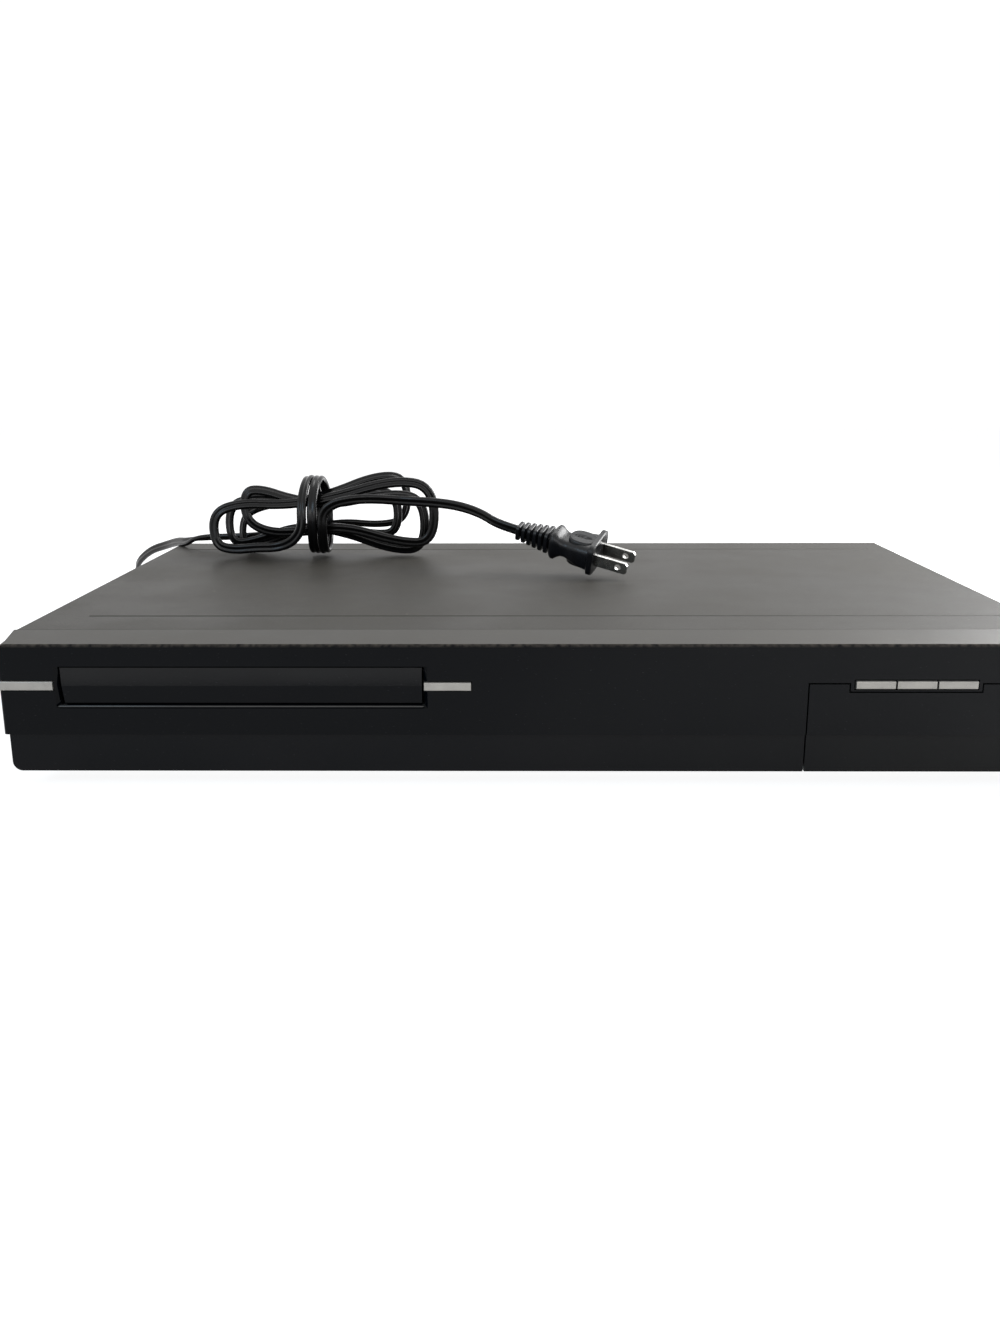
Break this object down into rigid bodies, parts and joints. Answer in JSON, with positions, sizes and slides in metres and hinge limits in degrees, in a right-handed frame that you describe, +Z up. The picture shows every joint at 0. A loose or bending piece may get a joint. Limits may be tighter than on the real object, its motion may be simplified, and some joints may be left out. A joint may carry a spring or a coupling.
{
  "type": "dvd recorder",
  "caption": "Low full-width disc recorder with a sliding disc tray, hinged front flap, push buttons, hard disc and a tied mains cord on top.",
  "frame": {"origin": "on the surface that the feet stand on, under the middle of the case with its sockets and buttons", "axes": "+X to the right seen from the front, +Y to the back, +Z up"},
  "size_m": [0.4771, 0.3305, 0.1093],
  "materials": {
    "pan_steel": "zinc-plated sheet steel, dull",
    "cover_paint": "dark warm grey fine-textured paint",
    "panel_steel": "bare coated rear sheet",
    "case_black": "satin black moulding",
    "window_black": "high gloss black",
    "silver_button": "metallic silver paint",
    "rubber_black": "matt rubber",
    "screw_steel": "black zinc",
    "loader_plastic": "glass-filled black plastic",
    "tray_plastic": "fine matt black plastic",
    "gear_white": "natural acetal",
    "gear_black": "black acetal",
    "motor_steel": "nickel-plated can",
    "rod_steel": "ground steel",
    "frame_steel": "stamped steel",
    "aluminium": "cast or extruded, satin",
    "board": "solder mask over glass laminate",
    "chip": "moulded epoxy",
    "parts_mixed": "sleeved capacitors and wound parts",
    "nickel": "bright nickel",
    "jack_colour": "coloured plastic",
    "display_glass": "dark display glass",
    "cord_black": "soft PVC"
  },
  "bodies": {
    "case": {"chassis_pan": "pan_steel", "top_cover": "cover_paint", "rear_panel": "panel_steel", "front_bezel": "case_black", "front_window": "window_black", "top_trim": "cover_paint", "rubber_feet": "rubber_black", "case_screws": "screw_steel", "cord_bushing": "case_black", "loader_chassis": "loader_plastic", "clamp_bridge": "frame_steel", "loading_motor": "motor_steel", "loading_belt": "rubber_black", "hdd_casting": "aluminium", "hdd_lid": "motor_steel", "main_board": "board", "main_chips": "chip", "heat_sinks": "aluminium", "power_board": "board", "power_parts": "parts_mixed", "av_board": "board", "tuner_can": "motor_steel", "antenna_sockets": "nickel", "jack_blocks": "case_black", "rca_barrels": "nickel", "rca_insulators": "jack_colour", "hdmi_socket": "nickel", "fan_frame": "case_black", "front_boards": "board", "tact_switches": "chip", "display_tube": "display_glass", "front_jacks": "case_black", "front_jack_barrels": "nickel", "socket_bay": "case_black", "power_cord": "cord_black", "cord_hank": "cord_black", "plug_strain_relief": "cord_black", "plug_body": "cord_black", "plug_blades": "nickel"},
    "tray": {"disc_tray": "tray_plastic", "tray_door": "window_black"},
    "pinion": {"drive_gear": "gear_white"},
    "belt_gear": {"pulley_gear": "gear_white"},
    "motor_drive": {"motor_pulley": "gear_white"},
    "cam": {"cam_slider": "gear_black"},
    "traverse": {"traverse_frame": "frame_steel", "traverse_motors": "motor_steel", "guide_rods": "rod_steel"},
    "spindle": {"turntable": "gear_black"},
    "sled": {"pickup_sled": "loader_plastic"},
    "screw": {"lead_screw": "rod_steel"},
    "clamp": {"clamper": "gear_black"},
    "impeller": {"fan_rotor": "case_black"},
    "flap": {"flap_door": "case_black", "flap_face": "window_black"},
    "standby": {"standby_button": "silver_button"},
    "open_close": {"open_close_button": "silver_button"},
    "play": {"play_button": "silver_button"},
    "stop": {"stop_button": "silver_button"},
    "record": {"record_button": "silver_button"}
  },
  "joints": [
    {"name": "tray_slide", "type": "slide", "parent": "case", "child": "tray", "axis": [0, -1, 0], "range_m": [0, 0.13]},
    {"name": "pinion_spin", "type": "hinge", "parent": "case", "child": "pinion", "pos_m": [-0.1655, -0.1078, 0.036], "axis": [0, 0, 1], "continuous": true},
    {"name": "belt_gear_spin", "type": "hinge", "parent": "case", "child": "belt_gear", "pos_m": [-0.1465, -0.1078, 0.027], "axis": [0, 0, 1], "continuous": true},
    {"name": "motor_spin", "type": "hinge", "parent": "case", "child": "motor_drive", "pos_m": [-0.1105, -0.1078, 0.022], "axis": [0, 0, 1], "continuous": true},
    {"name": "traverse_tilt", "type": "hinge", "parent": "case", "child": "traverse", "pos_m": [-0.1185, 0.0272, 0.031], "axis": [1, 0, 0], "range_deg": [0, 5]},
    {"name": "cam_slide", "type": "slide", "parent": "case", "child": "cam", "axis": [1, 0, 0], "range_m": [0, 0.0281]},
    {"name": "spindle_spin", "type": "hinge", "parent": "traverse", "child": "spindle", "pos_m": [-0.1185, -0.0668, 0.04], "axis": [0, 0, 1], "continuous": true},
    {"name": "sled_slide", "type": "slide", "parent": "traverse", "child": "sled", "axis": [0, 1, 0], "range_m": [0, 0.033]},
    {"name": "screw_spin", "type": "hinge", "parent": "traverse", "child": "screw", "pos_m": [-0.0915, -0.0368, 0.0338], "axis": [0, 1, 0], "continuous": true},
    {"name": "clamp_spin", "type": "hinge", "parent": "case", "child": "clamp", "pos_m": [-0.1185, -0.0668, 0.046], "axis": [0, 0, 1], "continuous": true},
    {"name": "fan_spin", "type": "hinge", "parent": "case", "child": "impeller", "pos_m": [-0.072, 0.1232, 0.034], "axis": [0, 1, 0], "continuous": true},
    {"name": "flap_hinge", "type": "hinge", "parent": "case", "child": "flap", "pos_m": [0.163, -0.133, 0.0093], "axis": [1, 0, 0], "range_deg": [0, 90]},
    {"name": "standby_press", "type": "slide", "parent": "case", "child": "standby", "axis": [0, 1, 0], "range_m": [0, 0.0008], "stiffness_N_per_m": 900, "springref_m": -0.0006},
    {"name": "open_close_press", "type": "slide", "parent": "case", "child": "open_close", "axis": [0, 1, 0], "range_m": [0, 0.0008], "stiffness_N_per_m": 900, "springref_m": -0.0006},
    {"name": "play_press", "type": "slide", "parent": "case", "child": "play", "axis": [0, 1, 0], "range_m": [0, 0.0008], "stiffness_N_per_m": 900, "springref_m": -0.0006},
    {"name": "stop_press", "type": "slide", "parent": "case", "child": "stop", "axis": [0, 1, 0], "range_m": [0, 0.0008], "stiffness_N_per_m": 900, "springref_m": -0.0006},
    {"name": "record_press", "type": "slide", "parent": "case", "child": "record", "axis": [0, 1, 0], "range_m": [0, 0.0008], "stiffness_N_per_m": 900, "springref_m": -0.0006}
  ],
  "couplings": [
    {"joint": "pinion_spin", "follows": "tray_slide", "rad_per_m": 111.11},
    {"joint": "belt_gear_spin", "follows": "tray_slide", "rad_per_m": -311.11},
    {"joint": "motor_spin", "follows": "tray_slide", "rad_per_m": -816.67},
    {"joint": "cam_slide", "follows": "traverse_tilt", "m_per_rad": 0.32086},
    {"joint": "screw_spin", "follows": "sled_slide", "rad_per_m": 2094.4}
  ]
}
